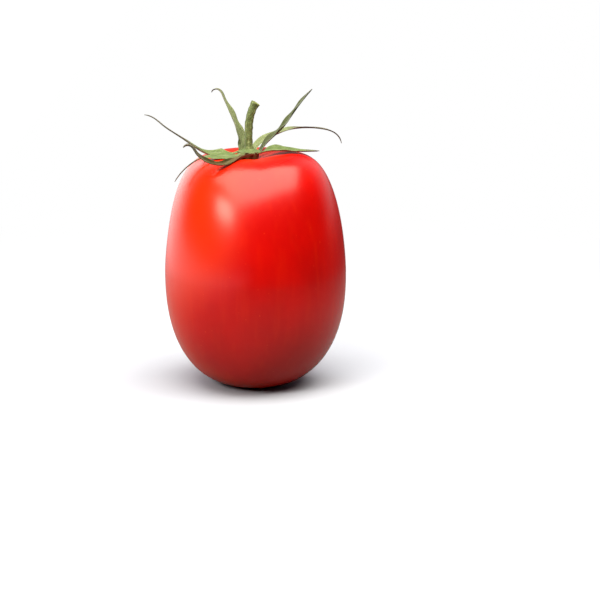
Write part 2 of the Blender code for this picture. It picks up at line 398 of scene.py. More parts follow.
@dataclass(frozen=True)
class SkinFinish:
    """Ripe tomato skin: deep glossy red over moist flesh, paler by the stem, with fine specks.
    Its left, lit side is orange: painted light.

    A scale is in waves or spots to the metre, a share is the most of a colour that a pattern lets in, and
    a depth is in metres.
    """

    red: Colour = linear(180, 5, 1)
    deep: Colour = linear(162, 2, 1)
    orange: Colour = linear(210, 44, 2)
    speck: Colour = linear(236, 84, 30)
    cork: Colour = linear(150, 104, 58)
    roughness: float = 0.27
    scar_roughness: float = 0.5
    crown_roughness: float = 0.1
    refraction: float = 1.38
    cloud_scale: float = 55.0
    cloud_share: float = 0.6
    streak_scale: float = 420.0
    streak_squeeze: float = 0.12
    streak_share: float = 0.14
    crown_share: float = 0.85
    painted_lit_side_share: float = 0.8
    speck_scale: float = 430.0
    speck_share: float = 0.2
    patch_scale: float = 300.0
    grain_scale: float = 700.0
    grain_depth: float = 0.000007

    def build(self) -> bpy.types.Material:
        """Mottles and streaks the red, and adds the specks, the pale crown and the cork scar,
        and orange painted light on the left, lit side.

        Returns:
            The material.
        """
        tree = Tree.material("ripe_skin")
        crown, scar = tree.mark("crown"), tree.mark("scar")
        clouds = tree.between(tree.noise(tree.place, self.cloud_scale), 0.35, 0.65)
        colour = tree.blend(tree.apply("MULTIPLY", clouds, self.cloud_share), self.red, self.deep)
        streaks = tree.noise(tree.stretched((1.0, 1.0, self.streak_squeeze)), self.streak_scale, 2.0)
        colour = tree.blend(tree.between(streaks, 0.45, 0.85, 0.0, self.streak_share), colour, self.orange)
        # The crown turns orange, and so does the left side: there the orange is painted light, the warm look
        # of the lit side.
        for pale, share in ((crown, self.crown_share), (tree.mark("painted_lit_side"), self.painted_lit_side_share)):
            colour = tree.blend(tree.apply("MULTIPLY", pale, share), colour, self.orange)
        dots = tree.between(tree.specks(tree.place, self.speck_scale), 0.05, 0.14, self.speck_share, 0.0)
        patches = tree.between(tree.noise(tree.place, self.patch_scale, 1.0), 0.45, 0.65)
        colour = tree.blend(tree.apply("MULTIPLY", dots, patches), colour, self.speck)
        colour = tree.blend(scar, colour, self.cork)
        rough = tree.apply("MULTIPLY_ADD", scar, self.scar_roughness, self.roughness)
        rough = tree.apply("MULTIPLY_ADD", crown, self.crown_roughness, rough)
        normal = tree.bump(tree.noise(tree.place, self.grain_scale, 2.0), self.grain_depth)
        given = {"Base Color": colour, "Roughness": rough, "Normal": normal, "IOR": self.refraction}
        return tree.shade(given)


@dataclass(frozen=True)
class GreenFinish:
    """What the calyx and the stem share: matte green tissue under a fine down, over a fine grain.

    A scale is in waves to the metre, a share is the most of a colour that a pattern lets in, and a depth
    is in metres.
    """

    roughness: float = 0.55
    roughest: float = 0.7
    gloss: float = 0.35
    fuzz: float = 0.12
    fuzz_roughness: float = 0.4
    relief_depth: float = 0.00003
    grain_scale: float = 1100.0
    grain_depth: float = 0.00001
    dullness: tuple[float, float] = (0.0, 1.0)

    def dress(self, tree: Tree, colour: Socket, pattern: Socket, relief: Socket) -> bpy.types.Material:
        """Finishes a green material.

        Args:
            tree: its tree.
            colour: its finished colour.
            pattern: what it gets rougher with, as this rises through dullness.
            relief: its relief over the grain, 0 to 1.

        Returns:
            The material.
        """
        grain = tree.bump(tree.noise(tree.place, self.grain_scale, 1.0), self.grain_depth)
        given = {
            "Base Color": colour,
            "Roughness": tree.between(pattern, *self.dullness, self.roughness, self.roughest),
            "Normal": tree.bump(relief, self.relief_depth, grain),
            "Sheen Weight": self.fuzz,
            "Sheen Roughness": self.fuzz_roughness,
            "Specular IOR Level": self.gloss,
        }
        return tree.shade(given)


@dataclass(frozen=True)
class LeafFinish(GreenFinish):
    """A fresh calyx: veined green above, paler below and at its margins, drying to grey at its tips.
    Light and shade are painted on as well: a paler lit look, brown shade and dark olive shade.

    The fibre's scale is in waves to the millimetre.
    """

    green: Colour = linear(86, 106, 54)
    deep: Colour = linear(70, 90, 42)
    under: Colour = linear(96, 102, 60)
    pale: Colour = linear(132, 139, 104)
    dry: Colour = linear(84, 82, 68)
    # Painted shade: the brown of shaded undersides, with the skin's red bounce.
    painted_shade_brown: Colour = linear(76, 45, 12)
    # Painted shade: dark olive for blades in shadow.
    painted_shade_olive: Colour = linear(54, 60, 27)
    mottle_scale: float = 420.0
    fibre_scale: float = 1.7
    fibre_squeeze: float = 0.14
    fibre_share: float = 0.3
    midrib_share: float = 0.4
    painted_lit_pallor_share: float = 0.75
    shade_share: float = 0.85
    margin_share: float = 0.4
    painted_shade_olive_share: float = 0.85

    def build(self) -> bpy.types.Material:
        """Colours the blade by its face, its veins, its margins and how dry it is, and paints light and shade
        onto it.

        Returns:
            The material.
        """
        tree = Tree.material("calyx_leaf")
        aside = tree.apply("ABSOLUTE", tree.mark("across"))
        mottle = tree.between(tree.noise(tree.place, self.mottle_scale, 2.0), 0.3, 0.7)
        lengthwise = tree.apply("MULTIPLY", tree.mark("along"), self.fibre_squeeze)
        fibre = tree.noise(tree.joined(lengthwise, tree.mark("aside"), 0.0), self.fibre_scale, 1.0)
        above = tree.blend(mottle, self.green, self.deep)
        above = tree.blend(tree.between(fibre, 0.45, 0.8, 0.0, self.fibre_share), above, self.pale)
        above = tree.blend(tree.between(aside, 0.04, 0.16, self.midrib_share, 0.0), above, self.pale)
        colour = tree.blend(tree.mark("face"), tree.blend(mottle, self.under, self.pale), above)
        # Painted light: whole blades paler, as if lit from above.
        colour = tree.blend(tree.apply("MULTIPLY", tree.mark("painted_lit_pallor"), self.painted_lit_pallor_share), colour, self.pale)
        # Painted shade: brown, with the skin's red bounce, where undersides lie in shadow.
        colour = tree.blend(tree.apply("MULTIPLY", tree.mark("shade"), self.shade_share), colour, self.painted_shade_brown)
        colour = tree.blend(tree.between(aside, 0.85, 0.97, 0.0, self.margin_share), colour, self.pale)
        # Painted shade: dark olive over blades that lie in shadow.
        colour = tree.blend(tree.apply("MULTIPLY", tree.mark("painted_shade_olive"), self.painted_shade_olive_share), colour, self.painted_shade_olive)
        colour = tree.blend(tree.mark("dryness"), colour, self.dry)
        return self.dress(tree, colour, mottle, fibre)


@dataclass(frozen=True)
class StemFinish(GreenFinish):
    """A fresh stem: green with fine lengthwise streaks and a soft mottle, yellower where it broke.

    The streaks' scale is in waves to the stem's radius.
    """

    green: Colour = linear(106, 118, 72)
    deep: Colour = linear(82, 95, 50)
    pale: Colour = linear(138, 146, 104)
    broken: Colour = linear(110, 116, 60)
    roughness: float = 0.6
    roughest: float = 0.75
    dullness: tuple[float, float] = (0.3, 0.7)
    relief_depth: float = 0.00004
    grain_depth: float = 0.000012
    streak_scale: float = 2.6
    streak_squeeze: float = 1.2
    streak_share: float = 0.6
    mottle_scale: float = 500.0
    mottle_share: float = 0.4

    def build(self) -> bpy.types.Material:
        """Streaks the green along the stem, mottles it and yellows the broken end.

        Returns:
            The material.
        """
        tree = Tree.material("fresh_stem")
        lengthwise = tree.apply("MULTIPLY", tree.mark("along"), self.streak_squeeze)
        round_and_along = tree.joined(tree.mark("turn_x"), tree.mark("turn_y"), lengthwise)
        streaks = tree.noise(round_and_along, self.streak_scale, 2.0)
        colour = tree.blend(tree.between(streaks, 0.35, 0.65), self.deep, self.green)
        colour = tree.blend(tree.between(streaks, 0.55, 0.8, 0.0, self.streak_share), colour, self.pale)
        mottle = tree.between(
            tree.noise(tree.place, self.mottle_scale, 2.0), 0.45, 0.8, 0.0, self.mottle_share
        )
        colour = tree.blend(mottle, colour, self.deep)
        colour = tree.blend(tree.mark("broken"), colour, self.broken)
        return self.dress(tree, colour, streaks, streaks)


# ---------------------------------------------------------------------------------------------- pieces


@dataclass(frozen=True)
class Fruit:
    """The fruit: a body of superellipse sections with a hollow crown, shoulder grooves and a flat foot.

    Each groove is a heading in degrees and its share of the groove depth.
    """

    radius: float = 0.029
    height: float = 0.075
    belly_height: float = 0.037
    shoulder_powers: tuple[float, float] = (5.4, 1.55)
    front_shoulder_power: float = 3.3
    front_narrowness: float = 4
    blossom_powers: tuple[float, float] = (2.5, 2.5)
    pressed_flat: float = 0.0007
    foot_softness: float = 0.0002
    lobes: int = 3
    lobe_depth: float = 0.0003
    lobe_turn: float = math.radians(20)
    calyx_x: float = -0.0018
    hollow_depth: float = 0.0028
    hollow_radius: float = 0.007
    grooves: tuple[tuple[float, float], ...] = (
        (-119, 0.5), (-74, 0.45), (32, 0.6), (88, 0.9), (141, 0.5), (196, 0.7)
    )
    groove_depth: float = 0.00042
    groove_width: float = math.radians(7.5)
    groove_start: float = 0.003
    groove_peak: float = 0.0125
    groove_end: float = 0.026
    relief_to: float = 0.5
    waviness: float = 0.00006
    wavelength: float = 0.024
    calm_to: float = 0.004
    crown_from: float = 0.004
    crown_to: float = 0.017
    # Painted light: the left side, where the key light falls, turns orange.
    painted_lit_side_to: float = 0.75
    painted_lit_side_unevenness: float = 0.3
    painted_lit_side_wavelength: float = 0.05
    scar_radius: float = 0.0011
    scar_margin: tuple[float, float] = (0.7, 1.2)
    scar_unevenness: float = 0.25
    scar_wavelength: float = 0.0009
    scar_lift: float = 0.00025
    scar_middle: float = 0.00015
    around: int = 288
    rings: int = 170

    @classmethod
    def fitted(cls, low: Array, high: Array) -> "Fruit":
        """Sizes the fruit to its solid's box.

        The radius is half the box's depth. The height is the one that brings the crown's highest point,
        which stands a little under it, to the box's top.

        Args:
            low: the box's lowest corner.
            high: the box's highest corner.

        Returns:
            The fruit.
        """
        tried = cls(radius=0.5 * (high[1] - low[1]), height=high[2])
        return replace(tried, height=2 * high[2] - float(tried.skin()[..., 2].max()))

    def shoulder_power(self, turn: Array) -> Array:
        """The first power of the shoulder's section at a heading, lowest at the front (-Y)."""
        front = (0.5 - 0.5 * np.sin(turn)) ** self.front_narrowness
        return self.shoulder_powers[0] + (self.front_shoulder_power - self.shoulder_powers[0]) * front

    def crown_relief(self, x: Array, y: Array) -> Array:
        """How far the crown lies below its dome: the calyx hollow, a bell curve, and the shoulder grooves.

        A groove is a narrow bell curve across its heading, that rises from the hollow to a peak at the
        shoulder and fades out down the side.

        Args:
            x: plan positions along X.
            y: plan positions along Y.

        Returns:
            Heights, at most 0.
        """
        away = np.hypot(x - self.calyx_x, y)
        turn = np.arctan2(y, x - self.calyx_x)
        hollow = self.hollow_depth * np.exp(-((away / self.hollow_radius) ** 2))
        reach = smooth_step(self.groove_start, self.groove_peak, away)
        reach = reach * (1.0 - smooth_step(self.groove_peak, self.groove_end, away))
        grooves = np.zeros_like(away)
        for heading, share in self.grooves:
            aside = np.angle(np.exp(1j * (turn - math.radians(heading))))
            grooves = grooves + share * np.exp(-((aside / self.groove_width) ** 2))
        return -hollow - self.groove_depth * grooves * reach

    def top(self, x: Array, y: Array) -> Array:
        """The height of the upper surface over points in plan, or of the belly beyond it.

        Args:
            x: plan positions along X.
            y: plan positions along Y.

        Returns:
            One height for each point.
        """
        share = np.minimum(np.hypot(x, y) / self.radius, 1.0)
        dome = (1.0 - share ** self.shoulder_power(np.arctan2(y, x))) ** (1.0 / self.shoulder_powers[1])
        relief = self.crown_relief(x, y) * smooth_step(0.0, self.relief_to, dome)
        return self.belly_height + (self.height - self.belly_height) * dome + relief

    def skin(self) -> Array:
        """The skin's rings, from the crown down to the foot.

        A ring at latitude t has the radius share s = cos(t), and stands at the height share
        (1 - s ^ first power) ^ (1 / second power) above or below the belly. Below the floor it is pressed
        flat, by the mean of its height h and the root of h squared plus the softness squared.

        Returns:
            Points as (ring, place round the ring, 3).
        """
        latitude = np.linspace(0.5 * math.pi, -0.5 * math.pi, self.rings + 2)[1:-1, None]
        turn = np.linspace(-math.pi, math.pi, self.around, endpoint=False)[None, :]
        share = np.cos(latitude)
        upper = latitude >= 0.0
        first = np.where(upper, self.shoulder_power(turn), self.blossom_powers[0])
        second = np.where(upper, self.shoulder_powers[1], self.blossom_powers[1])
        height_share = (1.0 - share**first) ** (1.0 / second)
        lobes = np.cos(self.lobes * (turn - self.lobe_turn)) * (1.0 - height_share**2)
        radius = share * (self.radius + self.lobe_depth * lobes)
        x, y = radius * np.cos(turn), radius * np.sin(turn)
        relief = self.crown_relief(x, y) * smooth_step(0.0, self.relief_to, height_share)
        above = self.belly_height + (self.height - self.belly_height) * height_share + relief
        below = self.belly_height - (self.belly_height + self.pressed_flat) * height_share
        below = 0.5 * (below + np.sqrt(below**2 + self.foot_softness**2))
        points = np.stack([x, y, np.where(upper, above, below) + 0.0 * x], axis=-1)
        outward = points - np.array([0.0, 0.0, self.belly_height])
        outward /= np.linalg.norm(outward, axis=-1, keepdims=True)
        swell = self.waviness * ripple(points, self.wavelength, SKIN_WAVES)
        fade = smooth_step(0.0, self.calm_to, points[..., 2])
        return points + outward * (swell * fade)[..., None]

    def build(self, finish: SkinFinish) -> None:
        """Builds the skin, marks its crown, its scar and the orange painted light on its left, lit side,
        and lets it stand for the fruit.

        Args:
            finish: the skin's finish.
        """
        points = self.skin()
        x, y, upper = points[..., 0], points[..., 1], points[..., 2] > self.belly_height
        away = np.hypot(x - self.calyx_x, y)
        crown = (1.0 - smooth_step(self.crown_from, self.crown_to, away)) * upper
        # Painted light: orange towards the left, the lit side, with a ragged edge.
        uneven = self.painted_lit_side_unevenness * ripple(points, self.painted_lit_side_wavelength, PAINTED_LIT_SIDE_WAVES)
        painted_lit_side = smooth_step(0.0, self.painted_lit_side_to, -x / self.radius + uneven)
        uneven = self.scar_unevenness * ripple(points, self.scar_wavelength, SCAR_WAVES)
        inner, outer = (share * self.scar_radius for share in self.scar_margin)
        scar = (1.0 - smooth_step(inner, outer, np.hypot(x, y) * (1.0 + uneven))) * ~upper
        points[..., 2] += self.scar_lift * scar
        top = np.array([0.0, 0.0, float(self.top(np.array(0.0), np.array(0.0)))])
        foot = np.array([0.0, 0.0, self.scar_middle])
        made = loft("tomato_skin", points, top, foot, {"crown": crown, "scar": scar, "painted_lit_side": painted_lit_side})
        settle(made, finish.build(), Slot.SKIN, "fruit")


@dataclass(frozen=True)
class CalyxBase:
    """The fused calyx: a thin lobed saucer round the stem's foot, over a narrow neck.

    The saucer's profile runs from the stem's foot out over the top and round the rim. Each of its points
    is a share of the rim's radius, and a rise: a share of the collar's height above the top, or of half
    the rim's thickness below it.
    """

    fruit: Fruit
    low: Array
    high: Array
    clearance: float = 0.0003
    rim_radius: float = 0.0034
    rim_thickness: float = 0.0009
    crown: float = 0.0003
    sepal_count: int = 7
    first_turn: float = math.radians(-24)
    neck_radius: float = 0.0031
    neck_start: float = 0.15
    neck_rings: int = 10
    neck_power: float = 1.3
    skirt: float = 0.0007
    collar: float = 0.0009
    profile: tuple[tuple[float, float], ...] = (
        (0.2, 1.0), (0.34, 0.98), (0.46, 0.72), (0.56, 0.42), (0.66, 0.2), (0.76, 0.06),
        (0.86, 0.0), (0.94, -0.06), (0.985, -0.2), (1.0, -0.5), (0.985, -0.8), (0.93, -1.0),
    )
    green_rings: int = 9
    unevenness: float = 0.00006
    wavelength: float = 0.0012
    calm_to: float = 0.002
    # Painted light: the saucer a little paler, as if lit from above.
    painted_lit_pallor: float = 0.1
    around: int = 168

    def floor(self) -> float:
        """The height of the foot, as the solid's."""
        return self.low[2]

    def top(self) -> float:
        """The height that the stem stands at, as the solid's top."""
        return self.high[2]

    def centre(self) -> Array:
        """The middle of the rim that the sepals grow from."""
        middle = 0.5 * (np.add(self.low, self.high))
        return np.array([middle[0], middle[1], self.top() - self.crown - 0.5 * self.rim_thickness])

    def build(self, finish: LeafFinish) -> None:
        """Builds the saucer as rings that run out over its top, round its lobed rim and down its neck.

        The neck's radius falls from the rim's by a quarter of a sine wave, and its height by a power.
        The top is green, and the rim's lower half and the neck are painted shade: brown, with the skin's red
        bounce.

        Args:
            finish: the calyx's finish.
        """
        turn = np.linspace(-math.pi, math.pi, self.around, endpoint=False)[None, :]
        lobes = np.cos(self.sepal_count * (turn - self.first_turn))
        rim = self.rim_radius + self.skirt * (0.5 + 0.5 * lobes)
        low = self.rim_thickness * 0.5
        out, rise = (column[:, None] for column in np.transpose(self.profile))
        lift = np.where(rise > 0.0, rise * self.collar, rise * low)
        height = self.top() - self.crown + lift + 0.0 * turn
        radius = out * rim

        inward = np.linspace(self.neck_start, 1.0, self.neck_rings)[:, None]
        under = rim * self.profile[-1][0]
        neck = under + (self.neck_radius - under) * np.sin(0.5 * math.pi * inward)
        drop = self.top() - self.crown - low
        neck_height = drop + (self.floor() - drop) * inward**self.neck_power + 0.0 * turn
        radius = np.concatenate([radius, neck])
        height = np.concatenate([height, neck_height])

        x = self.fruit.calyx_x + radius * np.cos(turn)
        points = np.stack([x, radius * np.sin(turn), height], axis=-1)
        uneven = self.unevenness * ripple(points, self.wavelength, SAUCER_WAVES)
        points[..., 2] += uneven * smooth_step(0.0, self.calm_to, radius)
        still = np.zeros_like(radius)
        face = still + (np.arange(len(radius)) < self.green_rings)[:, None]
        # Painted light and shade: the saucer a little paler as if lit, and brown shade, with the skin's red
        # bounce, under the rim and down the neck.
        marks = {
            "face": face,
            "along": radius / MILLIMETRE,
            "across": still + 0.5,
            "aside": radius * turn / MILLIMETRE,
            "dryness": still,
            "painted_lit_pallor": still + self.painted_lit_pallor,
            "shade": 1.0 - face,
            "painted_shade_olive": still,
        }
        centre = points[0].mean(axis=0)
        foot = np.array([self.fruit.calyx_x, 0.0, self.floor()])
        settle(loft("calyx_saucer", points, centre, foot, marks), finish.build(), Slot.LEAF, "calyx_base")


@dataclass(frozen=True)
class Stem:
    """The stem: a ribbed stalk that flares into the calyx, bends near its top and ends broken, at a knuckle.

    The broken end closes in rings. Each is a share of the knuckle's radius, a height past the end in
    knuckle radii, and how broken it looks, 0 to 1. Each bump is a height and a wavelength.
    """

    base: CalyxBase
    length: float = 0.0154
    foot_radius: float = 0.0017
    radius: float = 0.00125
    knuckle_radius: float = 0.00145
    foot_share: float = 0.16
    knuckle_share: float = 0.12
    pitches: tuple[float, ...] = (92, 91, 88, 82, 71, 58)
    ribs: int = 5
    rib_depth: float = 0.045
    rib_twist: float = 1.3
    broken_end: tuple[tuple[float, float, float], ...] = (
        (0.97, 0.02, 0.4), (0.9, 0.0, 0.8), (0.75, -0.18, 1.0), (0.5, -0.26, 1.0), (0.25, -0.24, 1.0)
    )
    bumps: tuple[tuple[float, float], ...] = ((0.00005, 0.0016), (0.00002, 0.0006))
    sunk: float = 0.0006
    stations: int = 150
    around: int = 72

    def build(self, finish: StemFinish) -> None:
        """Carries a ribbed ring along the stem's path, then turns it in over the hollowed broken end.

        A rib is a cosine wave round the ring, that twists a little along the stem.

        Args:
            finish: the stem's finish.
        """
        share = np.linspace(0.0, 1.0, self.stations)
        pitches = np.radians(smooth_through(self.pitches, share))
        start = np.array([self.base.fruit.calyx_x, 0.0, self.base.top() - self.sunk])
        path = walk(start, np.zeros_like(share), pitches, self.length + self.sunk)
        foot = (self.foot_radius - self.radius) * (1.0 - smooth_step(0.0, self.foot_share, share))
        knuckle = (self.knuckle_radius - self.radius) * smooth_step(1.0 - self.knuckle_share, 1.0, share)
        size = self.radius + foot + knuckle

        along = direction(np.zeros_like(pitches), pitches)
        side = np.broadcast_to([0.0, 1.0, 0.0], along.shape)
        face = np.cross(side, along)
        inner, sink, look = np.transpose(self.broken_end)
        path = np.concatenate([path, path[-1] + (sink * self.knuckle_radius)[:, None] * along[-1]])
        side = np.concatenate([side, np.repeat(side[-1:], len(inner), axis=0)])
        face = np.concatenate([face, np.repeat(face[-1:], len(inner), axis=0)])
        size = np.concatenate([size, size[-1] * inner])
        share = np.concatenate([share, np.ones(len(inner))])

        turn = np.linspace(0.0, 2 * math.pi, self.around, endpoint=False)
        rib = 1.0 + self.rib_depth * np.cos(self.ribs * turn[None, :] + self.rib_twist * share[:, None])
        ring = np.cos(turn)[None, :, None] * side[:, None, :] + np.sin(turn)[None, :, None] * face[:, None, :]
        points = path[:, None, :] + ring * (size[:, None] * rib)[..., None]
        rough = sum(
            depth * ripple(points, wavelength, STEM_WAVES + place)
            for place, (depth, wavelength) in enumerate(self.bumps)
        )
        points = points + ring * rough[..., None]
        broken = np.zeros_like(rib)
        broken[self.stations :] = look[:, None]
        marks = {
            "along": share[:, None] + 0.0 * rib,
            "turn_x": np.cos(turn)[None, :] + 0.0 * rib,
            "turn_y": np.sin(turn)[None, :] + 0.0 * rib,
            "broken": broken,
        }
        settle(loft_upwards("green_stem", points, marks), finish.build(), Slot.STEM, "stem")


@dataclass(frozen=True)
class Sepal:
    """One sepal. Angles are in degrees and spread evenly from the root to the tip.

    headings turn the midrib in plan from +X towards +Y, pitches lift it above the level, and rolls turn
    the blade about the midrib, left edge up. taper is the power that the width falls off with, keel is
    how far the blade's edges stand above its midrib in shares of its width, and wave is how far its
    margins ripple. dry_from and widest_at are shares of the length, and the rest are shares of painted
    light and shade: a paler lit look, brown shade with the skin's red bounce, and dark olive shade.
    """

    node: str
    length: float
    width: float
    taper: float
    headings: tuple[float, ...]
    pitches: tuple[float, ...]
    rolls: tuple[float, ...]
    dry_from: float = 0.7
    painted_lit_pallor: float = 0.0
    shade: float = 0.0
    painted_shade_olive: float = 0.0
    keel: float = 0.18
    widest_at: float = 0.22
    wave: float = 0.0003


@dataclass(frozen=True)
class Calyx:
    """The ring of sepals: how each blade grows out of the saucer, thins and dries."""

    base: CalyxBase
    sepals: tuple[Sepal, ...]
    root_share: float = 0.75
    tip_width: float = 0.0008
    tip_from: float = 0.94
    tip_taper: float = 0.45
    root_blend: float = 0.16
    solid_thickness: float = 0.0005
    rib_thickness: float = 0.00055
    margin_thickness: float = 0.00016
    most_plump: float = 0.6
    tip_thinning: float = 0.3
    crease_depth: float = 0.35
    crease_width: float = 0.16
    crease_below: float = 0.4
    waves: float = 3.3
    wave_shift: float = 0.17
    wave_lag: float = 1.4
    wave_start: tuple[float, float] = (0.05, 0.25)
    face_margin: float = 0.15
    dry_margin: tuple[float, float] = (-0.16, 0.12)
    dry_unevenness: float = 0.05
    dry_wavelength: float = 0.0017
    touch: float = 0.00012
    soft_contact: float = 0.0004
    tucked: float = 0.0014
    tucked_stations: int = 8
    stations: int = 190
    around: int = 44

    def rim(self) -> float:
        """The radius that the sepals grow from: the rim's, a clearance and half a solid's thickness."""
        return self.base.rim_radius + self.base.clearance + 0.5 * self.solid_thickness

    def root_width(self) -> float:
        """The width of each blade's root, a share of its part of the rim."""
        return self.root_share * 2 * math.pi * self.rim() / len(self.sepals)

    def midrib(self, sepal: Sepal, root_turn: float, share: Array) -> tuple[Array, Array, Array]:
        """Walks a sepal's midrib along its headings and pitches, and carries the blade's axes with it.

        The side axis is level and square to the midrib, turned about it by the roll. The normal is
        square to both.

        Args:
            sepal: the sepal.
            root_turn: the heading of its root about the stem, in radians.
            share: how far along the stations are, 0 to 1.

        Returns:
            The midrib's points, the side axes and the normals, one row for each station.
        """
        curves = (sepal.headings, sepal.pitches, sepal.rolls)
        headings, pitches, rolls = (np.radians(smooth_through(curve, share)) for curve in curves)
        start = self.base.centre() + self.rim() * direction(np.array(root_turn), np.array(0.0))
        level = direction(headings + 0.5 * math.pi, np.zeros_like(headings))
        face = np.cross(direction(headings, pitches), level)
        side = level * np.cos(rolls)[:, None] + face * np.sin(rolls)[:, None]
        normal = face * np.cos(rolls)[:, None] - level * np.sin(rolls)[:, None]
        return walk(start, headings, pitches, sepal.length), side, normal

    def width(self, sepal: Sepal, share: Array) -> Array:
        """A blade's width: smoothly from the root's to its widest, then down by a power to the tip's.

        Args:
            sepal: the sepal.
            share: how far along the stations are, 0 to 1.

        Returns:
            One width for each station.
        """
        root = self.root_width()
        swell = root + (sepal.width - root) * smooth_step(0.0, sepal.widest_at, share)
        past = np.clip((share - sepal.widest_at) / (1.0 - sepal.widest_at), 0.0, 1.0)
        width = self.tip_width + (swell - self.tip_width) * (1.0 - past) ** sepal.taper
        return width * (1.0 - self.tip_taper * smooth_step(self.tip_from, 1.0, share))

    def section(
        self, place: int, share: Array, width: Array
    ) -> tuple[Array, Array, Array, Array, Array]:
        """Works out a blade's closed sections, one for each station.

        A section's middle line is a shallow keel, width times the square of the place across it, and its
        margins rise and fall along the blade. Its two faces stand off that line by half the thickness,
        which thins from the rib to the margins. Along the midrib the upper one dips in a crease, a bell
        curve across it, and the lower one stands out as a rib.

        Args:
            place: the sepal's place round the rim, from 0.
            share: how far along the stations are, as (station, 1).
            width: the blade's width there, as (station, 1).

        Returns:
            As (station, place round the section): the place across, -1 to 1; the side of the middle line,
            -1 below to 1 above; the thickness; how far the face stands off the middle line; and how far
            it stands off the midrib.
        """
        sepal = self.sepals[place]
        turn = np.linspace(0.0, 2 * math.pi, self.around, endpoint=False)[None, :]
        across = np.cos(turn) + 0.0 * share
        sided = np.sin(turn) + 0.0 * share
        plump = self.margin_thickness + (self.rib_thickness - self.margin_thickness) * (1.0 - across**2)
        plump = np.minimum(plump, self.most_plump * width) * (1.0 - self.tip_thinning * share)
        crease = self.crease_depth * self.rib_thickness * np.exp(-((across / self.crease_width) ** 2))
        crease = crease * (1.0 - share)
        stand_off = 0.5 * plump * sided - crease * np.where(sided > 0.0, sided, self.crease_below * -sided)
        turns = self.waves * share + self.wave_shift * (place + 1)
        waves = np.sin(2 * math.pi * turns + self.wave_lag * np.sign(across))
        frill = sepal.wave * waves * np.abs(across) ** 3 * (width / sepal.width)
        frill = frill * smooth_step(*self.wave_start, share)
        return across, sided, plump, stand_off, sepal.keel * across**2 * width + frill + stand_off

    def blade(self, place: int) -> tuple[Array, dict[str, Array]]:
        """Works out a blade's rings of points and their marks.

        The first stretch blends from an arc of the saucer's rim, and before it come a few stations inside
        the rim. Where the blade would sink into the fruit it rests on it, by a soft maximum: the mean of
        its height h above the skin and the root of h squared plus the softness squared.

        Args:
            place: the sepal's place round the rim, from 0.

        Returns:
            The points as (station, place round the section, 3), and the marks by name.
        """
        sepal, tuck = self.sepals[place], self.tucked_stations
        root_turn = self.base.first_turn + place * 2 * math.pi / len(self.sepals)
        rim, centre = self.rim(), self.base.centre()
        share = np.linspace(0.0, 1.0, self.stations)
        midrib, side, normal = self.midrib(sepal, root_turn, share)
        width = self.width(sepal, share)[:, None]
        across, sided, plump, stand_off, keel = self.section(place, share[:, None], width)
        blade = midrib[:, None, :] + 0.5 * (across * width)[..., None] * side[:, None, :]
        blade = blade + keel[..., None] * normal[:, None, :]

        turns = root_turn + 0.5 * across * self.root_width() / rim
        arc = centre + rim * direction(turns, np.zeros_like(turns))
        arc[..., 2] += stand_off
        outward = (midrib - midrib[0])[:, None, :]
        blend = smooth_step(0.0, self.root_blend, share)[:, None, None]
        points = blade * blend + (arc + outward) * (1.0 - blend)

        floor = self.base.fruit.top(points[..., 0], points[..., 1]) + self.touch
        floor = floor + 0.5 * self.solid_thickness + 0.5 * plump * sided
        above = points[..., 2] - floor
        points[..., 2] = floor + 0.5 * (above + np.sqrt(above**2 + self.soft_contact**2))

        inset = np.linspace(self.tucked, 0.0, tuck, endpoint=False)[:, None]
        tucked = centre + (rim - inset)[..., None] * direction(turns[:1], np.zeros_like(turns[:1]))
        tucked[..., 2] += points[0, :, 2] - centre[2]
        points = np.concatenate([tucked, points])

        share = np.concatenate([np.zeros(tuck), share])[:, None]
        width = np.concatenate([np.repeat(width[:1], tuck, axis=0), width])
        across, sided = (np.concatenate([values[:tuck], values]) for values in (across, sided))
        ragged = share + self.dry_unevenness * ripple(points, self.dry_wavelength, SEPAL_WAVES + place)
        dry_from, dry_to = (sepal.dry_from + margin for margin in self.dry_margin)
        # Painted light and shade go on whole blades: a paler lit look, brown shade with the skin's red
        # bounce, and dark olive shade.
        marks = {
            "along": share * sepal.length / MILLIMETRE + 0.0 * across,
            "across": across,
            "aside": 0.5 * across * width / MILLIMETRE,
            "face": smooth_step(-self.face_margin, self.face_margin, sided),
            "dryness": smooth_step(dry_from, dry_to, ragged),
            "painted_lit_pallor": np.full_like(across, sepal.painted_lit_pallor),
            "shade": np.full_like(across, sepal.shade),
            "painted_shade_olive": np.full_like(across, sepal.painted_shade_olive),
        }
        return points, marks

    def build(self, finish: LeafFinish) -> None:
        """Builds every blade in the order of its root round the rim.

        Args:
            finish: the calyx's finish.
        """
        material = finish.build()
        for place, sepal in enumerate(self.sepals):
            made = loft_upwards(sepal.node.replace("sepal", "blade"), *self.blade(place))
            settle(made, material, Slot.LEAF, sepal.node)


